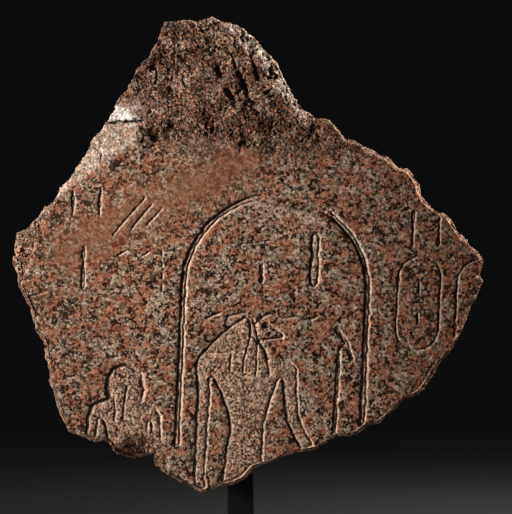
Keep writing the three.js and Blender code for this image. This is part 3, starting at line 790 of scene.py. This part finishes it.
# Broken stone is streaked and speckled, partly rusty, with pale crushed patches along its edges; along the
# turned crest the pale tint is partly a painted highlight.
STREAK_SCALE = 560
STREAK_TURN = math.radians(62)
STREAK_STRETCH = (3.2, 1, 1)
SPECK_SCALE = 430
POCKET_SCALE = 45
RUST_SCALE = 170
PALE_TINT_SCALE = 340
PALE_PATCH_SCALE = 120
streak_place = node("ShaderNodeMapping", vector_type="TEXTURE")
wire(ragged_place, streak_place.inputs["Vector"])
streak_place.inputs["Rotation"].default_value = (0, STREAK_TURN, 0)
streak_place.inputs["Scale"].default_value = STREAK_STRETCH
streaks = noise(streak_place.outputs[0], STREAK_SCALE, 2, 0.6)
specks = noise(place, SPECK_SCALE, 2, 0.6)
pockets = times(minus(noise(place, POCKET_SCALE, 2, 0.6), 0.5), 0.35)
broken_key = plus(plus(times(streaks, 0.5), times(specks, 0.5)), pockets)
broken_tint = ramp(
    broken_key,
    ((0.40, (0.006, 0.003, 0.001)), (0.49, (0.135, 0.08, 0.048)), (0.6, (0.57, 0.43, 0.32))),
)
rusty_tint = ramp(
    broken_key,
    ((0.40, (0.009, 0.002, 0.001)), (0.49, (0.205, 0.068, 0.03)), (0.6, (0.64, 0.31, 0.185))),
)
break_hue = mixed(spread(noise(place, RUST_SCALE, 3, 0.65), 0.46, 0.56), broken_tint, rusty_tint)
break_tint = mixed(0.8, break_hue, grit, "MULTIPLY")
with_breaks = mixed(times(zone("broken"), 0.78), gritty, break_tint)
pale_and_highlight_tint = ramp(
    noise(place, PALE_TINT_SCALE, 3, 0.6),
    ((0.36, (0.07, 0.04, 0.025)), (0.5, (0.46, 0.35, 0.27)), (0.62, (0.84, 0.74, 0.66))),
)
pale_patches = spread(noise(place, PALE_PATCH_SCALE, 3, 0.6), 0.38, 0.56)
with_pale_and_highlight = mixed(times(zone("pale"), plus(0.35, times(pale_patches, 0.65))), with_breaks, pale_and_highlight_tint)

# The reddish band and the few dark red stains are colour alone. Each stain has its place and radius.
PATINA_BROWN = (0.225, 0.092, 0.045, 1)
STAINS = ((-153, 287.5, 5), (-145, 293, 4.5), (-60, 376, 3), (-56, 378.5, 3), (-52, 381, 2.5))
STAIN_RED = (0.11, 0.018, 0.011, 1)
STAIN_STRENGTH = 0.85
STAIN_CORE = 0.45
STAIN_EDGE = 1.2
with_patina = mixed(times(zone("patina"), 0.62), with_pale_and_highlight, PATINA_BROWN)
with_stains = with_patina
flat_place = vector_maths("MULTIPLY", ragged_place, (1, 0, 1)).outputs[0]
for stain_u, stain_v, radius in STAINS:
    middle = (stain_u * MM, 0, (stain_v + STONE_FOOT_Z) * MM)
    away = vector_maths("DISTANCE", flat_place, middle).outputs["Value"]
    clear = spread(away, STAIN_CORE * radius * MM, STAIN_EDGE * radius * MM)
    with_stains = mixed(times(rest_of(clear), STAIN_STRENGTH), with_stains, STAIN_RED)

# Carved floors are pecked and speckled, walls facing the key light get a painted highlight, and walls facing
# away, the pits and the crack get painted shade; broad painted shade comes last.
FLOOR_SCALE = 420
WHITE_SCALE = 330
WHITE_EDGE_SCALE = 150
HIGHLIGHT_SCALE = 140
PAINTED_HIGHLIGHT_PALE = (0.60, 0.43, 0.32, 1)
PAINTED_SHADE_BLACK = (0.018, 0.009, 0.005, 1)
BROAD_SHADE_COLOUR = (0.03, 0.016, 0.009, 1)
SAWN_GREY = (0.33, 0.27, 0.22, 1)
floor_tint = ramp(
    noise(place, FLOOR_SCALE, 2, 0.6),
    ((0.41, (0.008, 0.003, 0.001)), (0.49, (0.29, 0.168, 0.1)), (0.6, (0.70, 0.48, 0.335))),
)
gritty_floor = mixed(1.0, floor_tint, grit, "MULTIPLY")
with_floor = mixed(times(zone("floor"), 0.6), with_stains, gritty_floor)
white_tint = ramp(
    noise(place, WHITE_SCALE, 3, 0.65),
    ((0.38, (0.16, 0.09, 0.06)), (0.46, (0.44, 0.36, 0.31)), (0.56, (0.66, 0.6, 0.545))),
)
white_edge = times(minus(noise(place, WHITE_EDGE_SCALE, 3, 0.6), 0.5), 1.2)
white_share = times(spread(plus(zone("white"), white_edge), 0.35, 0.6), 0.92)
with_white = mixed(white_share, with_floor, white_tint)
highlight_share = plus(0.2, times(spread(noise(place, HIGHLIGHT_SCALE, 3, 0.6), 0.35, 0.65), 0.45))
# Painted highlight on the carved walls that face the key light.
with_painted_highlight = mixed(times(zone("painted_highlight"), highlight_share), with_white, PAINTED_HIGHLIGHT_PALE)
# Painted shade on the walls that face away from the key light, in the pits and in the crack.
with_painted_shade = mixed(times(zone("painted_shade"), 0.85), with_painted_highlight, PAINTED_SHADE_BLACK)
# Broad painted shade.
with_broad_shade = mixed(zone("painted_broad_shade"), with_painted_shade, BROAD_SHADE_COLOUR)
sawn_tint = mixed(0.5, gritty, SAWN_GREY)
wire(mixed(zone("sawn"), with_broad_shade, sawn_tint), shader.inputs["Base Color"])

# Its surface is dull, smoother on the reddish band and rougher where it is broken, with crystal faces
# that lean their own ways, pecks on the carved floors and saw marks on the back.
STONE_SPECULAR = 0.06
FINE_SCALE = 330
CRYSTAL_FACE_SCALE = 320
CRYSTAL_FACE_HEIGHT = 300
PECK_SCALE = 460
SAW_SCALE = 60
BUMP_HEIGHT = 0.0013
BROKEN_BUMP_HEIGHT = 0.0055
rough_base = plus(0.6, times(grain_number[2], 0.2))
rough_more = plus(rough_base, times(zone("broken"), 0.25))
wire(minus(rough_more, times(zone("patina"), 0.1), True), shader.inputs["Roughness"])
shader.inputs["Specular IOR Level"].default_value = STONE_SPECULAR

fine_height = noise(ragged_place, FINE_SCALE, 2.5, 0.6)
crystal_faces = cells(ragged_place, CRYSTAL_FACE_SCALE)
from_middle = vector_maths("SUBTRACT", ragged_place, crystal_faces.outputs["Position"])
lean = vector_maths("SUBTRACT", crystal_faces.outputs["Color"], (0.5, 0.5, 0.5))
tilted = vector_maths("DOT_PRODUCT", from_middle.outputs[0], lean.outputs[0]).outputs["Value"]
facet_height = times(times(tilted, CRYSTAL_FACE_HEIGHT), zone("broken"))
grain_height = times(grain_number[2], 0.35)
height = minus(plus(fine_height, grain_height), times(mica, 0.25))
height = plus(height, facet_height)
pecks = noise(place, PECK_SCALE, 2, 0.6)
height = plus(height, times(times(pecks, zone("floor")), 1.6))
saw_marks = node("ShaderNodeTexWave", bands_direction="DIAGONAL")
wire(place, saw_marks.inputs["Vector"])
saw_marks.inputs["Scale"].default_value = SAW_SCALE
saw_marks.inputs["Distortion"].default_value = 2.5
saw_marks.inputs["Detail"].default_value = 3
height = plus(height, times(times(saw_marks.outputs["Fac"], zone("sawn")), 0.2))
smoothing = rest_of(times(zone("patina"), 0.6))
bump = node("ShaderNodeBump")
wire(height, bump.inputs["Height"])
wire(plus(BUMP_HEIGHT, times(zone("broken"), BROKEN_BUMP_HEIGHT)), bump.inputs["Distance"])
wire(times(smoothing, plus(0.5, times(zone("broken"), 0.5))), bump.inputs["Strength"])
wire(bump.outputs[0], shader.inputs["Normal"])

stone.data.materials.clear()
stone.data.materials.append(granite)
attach(stone, "root")
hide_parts("granite_fragment")

# The mount is a flat steel bar up the sawn back, standing on a steel foot plate, both painted satin black.
# Their solids stay as they are and get the paint, a little uneven in tone and with a fine orange peel.
PAINT_DARK = (0.006, 0.006, 0.0065)
PAINT_LIGHT = (0.011, 0.011, 0.012)
PAINT_SPECULAR = 0.07
MOTTLE_SCALE = 35
SHEEN_SCALE = 140
PEEL_SCALE = 900
PEEL_HEIGHT = 0.0002
paint = bpy.data.materials.new("mount_paint")
paint.use_nodes = True
tree = paint.node_tree
shader = tree.nodes["Principled BSDF"]
place = node("ShaderNodeTexCoord").outputs["Object"]
mottle = noise(place, MOTTLE_SCALE, 4, 0.6)
wire(ramp(mottle, ((0.3, PAINT_DARK), (0.7, PAINT_LIGHT))), shader.inputs["Base Color"])
wire(plus(0.4, times(noise(place, SHEEN_SCALE, 3), 0.2)), shader.inputs["Roughness"])
shader.inputs["Specular IOR Level"].default_value = PAINT_SPECULAR
orange_peel = node("ShaderNodeBump")
wire(noise(place, PEEL_SCALE, 2), orange_peel.inputs["Height"])
orange_peel.inputs["Distance"].default_value = PEEL_HEIGHT
orange_peel.inputs["Strength"].default_value = 0.25
wire(orange_peel.outputs[0], shader.inputs["Normal"])
for name in ("mount_post", "mount_foot_plate"):
    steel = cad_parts[name]
    steel.data.materials.clear()
    steel.data.materials.append(paint)

# The stage: a plain pale floor that falls off into the dark, a soft strip light raking from the left,
# soft rim lights from behind, faint fills, and a long lens square to the carved face.
FLOOR_SIZE = 60
FLOOR_DARK = (0.56, 0.56, 0.56)
FLOOR_LIGHT = (0.64, 0.64, 0.64)
FLOOR_CLOUD_SCALE = 1.5
bpy.ops.object.select_all(action="DESELECT")
bpy.ops.mesh.primitive_plane_add(size=FLOOR_SIZE, location=(0, 0, 0))
floor = bpy.context.object
floor.name = "floor"
floor_paint = bpy.data.materials.new("floor_paint")
floor_paint.use_nodes = True
tree = floor_paint.node_tree
shader = tree.nodes["Principled BSDF"]
place = node("ShaderNodeTexCoord").outputs["Object"]
cloudy = noise(place, FLOOR_CLOUD_SCALE, 3)
wire(ramp(cloudy, ((0.3, FLOOR_DARK), (0.7, FLOOR_LIGHT))), shader.inputs["Base Color"])
shader.inputs["Roughness"].default_value = 0.8
floor.data.materials.append(floor_paint)

LAMP_COLOUR = (1.0, 0.982, 0.95)
stone_middle = Vector((0.0, FACE_Y * MM, STONE_FOOT_Z * MM + 0.27))
crest_place = Vector((0.08, 0.0, STONE_FOOT_Z * MM + 0.44))
floor_behind = Vector((0.6, 1.5, 0))


def soft_light(name, place, width, height, power, angle, target=stone_middle):
    lamp = bpy.data.lights.new(name, "AREA")
    lamp.shape = "RECTANGLE"
    lamp.size = width
    lamp.size_y = height
    lamp.energy = power
    lamp.color = LAMP_COLOUR
    lamp.spread = math.radians(angle)
    holder = bpy.data.objects.new(name, lamp)
    holder.location = place
    holder.rotation_euler = (target - Vector(place)).to_track_quat("-Z", "Y").to_euler()
    bpy.context.scene.collection.objects.link(holder)


soft_light("key_strip", (-1.25, -0.51, 0.66), width=0.12, height=0.35, power=4.85, angle=60)
soft_light("rim_right", (1.15, 0.08, 1.18), width=0.25, height=0.4, power=4.8, angle=44, target=crest_place)
soft_light("rim_left", (-1.2, 0.6, 0.7), width=0.3, height=0.6, power=1.2, angle=60)
soft_light("front_fill", (0.3, -3.0, 1.6), width=1.6, height=1.2, power=0.1, angle=60)
soft_light("back_soft", (0.3, 2.4, 1.6), width=0.8, height=0.6, power=0.6, angle=60)
soft_light("floor_glow", (0.8, 1.2, 1.5), width=0.5, height=0.5, power=0.7, angle=110, target=floor_behind)

SURROUND_COLOUR = (0.95, 0.97, 1.0, 1)
AT_HORIZON = 0.0037
OVERHEAD = 0.007
world = bpy.data.worlds.new("studio")
bpy.context.scene.world = world
world.use_nodes = True
tree = world.node_tree
surround = tree.nodes["Background"]
surround.inputs["Color"].default_value = SURROUND_COLOUR
upwards = node("ShaderNodeSeparateXYZ")
wire(node("ShaderNodeTexCoord").outputs["Generated"], upwards.inputs[0])
higher = spread(upwards.outputs[2], 0.06, 0.5)
wire(plus(AT_HORIZON, times(higher, OVERHEAD - AT_HORIZON)), surround.inputs["Strength"])

FRAME_WIDTH = 0.5888
FRAME_MIDDLE = (0.00805, 0.2714)
CAMERA_DISTANCE = 5.0
SENSOR = 36
camera_data = bpy.data.cameras.new("camera")
camera_data.sensor_fit = "HORIZONTAL"
camera_data.sensor_width = SENSOR
camera_data.lens = SENSOR * CAMERA_DISTANCE / FRAME_WIDTH
camera = bpy.data.objects.new("camera", camera_data)
camera.location = (FRAME_MIDDLE[0], FACE_Y * MM - CAMERA_DISTANCE, STONE_FOOT_Z * MM + FRAME_MIDDLE[1])
camera.rotation_euler = (math.pi / 2, 0, 0)
bpy.context.scene.collection.objects.link(camera)
bpy.context.scene.camera = camera
bpy.context.scene.view_settings.view_transform = "Standard"
